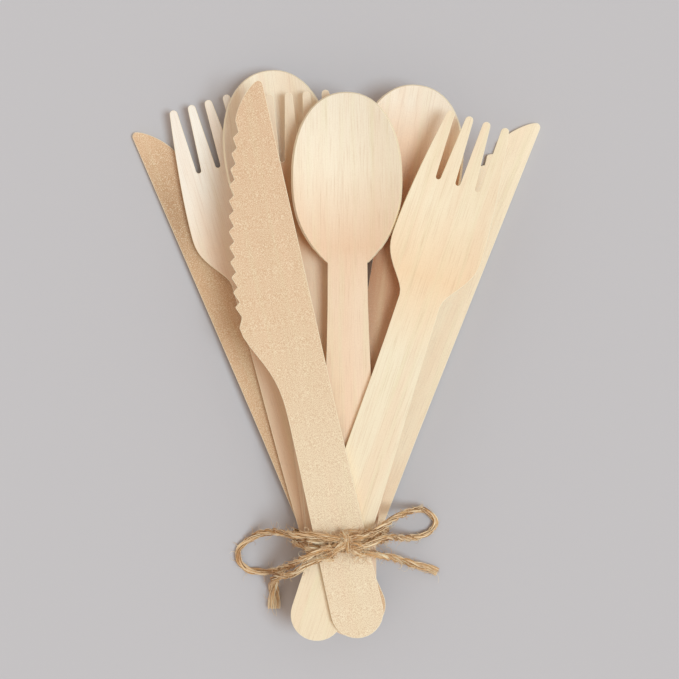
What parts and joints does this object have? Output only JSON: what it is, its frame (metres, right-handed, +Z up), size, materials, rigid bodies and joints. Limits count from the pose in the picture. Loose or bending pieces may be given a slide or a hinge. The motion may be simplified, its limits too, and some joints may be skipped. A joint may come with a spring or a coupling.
{
  "type": "tied bundle of wooden cutlery",
  "caption": "Stamped wooden knives, forks and spoons fanned out and tied round the handles with jute twine in a bow.",
  "frame": {"origin": "middle of the underside of the cutlery and its binding, without the bow's loops and tails; the part lies on this plane", "axes": "+Y from the tied handles towards the heads, +Z up away from the surface it lies on, +X to the right"},
  "size_m": [0.1222, 0.1676, 0.0277],
  "materials": {
    "knife_right_wood": "fine-grained pale birch veneer, sanded, unfinished",
    "knife_left_wood": "sandy brown birch veneer with a fine fleck, unfinished",
    "knife_front_wood": "sandy birch veneer with a fine fleck, unfinished",
    "fork_wood": "fine-grained pale birch veneer, pressed, unfinished",
    "spoon_wood": "fine-grained pale birch veneer, pressed, unfinished",
    "jute_twine": "hairy plied jute, golden tan"
  },
  "bodies": {
    "root": {"knife_right": "knife_right_wood", "knife_left": "knife_left_wood", "knife_front": "knife_front_wood", "fork_left": "fork_wood", "fork_middle": "fork_wood", "fork_right": "fork_wood", "spoon_left": "spoon_wood", "spoon_centre": "spoon_wood", "spoon_right": "spoon_wood", "twine_wrap": "jute_twine", "twine_knot": "jute_twine", "bow_loop_left": "jute_twine", "bow_loop_right": "jute_twine", "twine_tail_left": "jute_twine", "twine_tail_right": "jute_twine"}
  },
  "joints": []
}
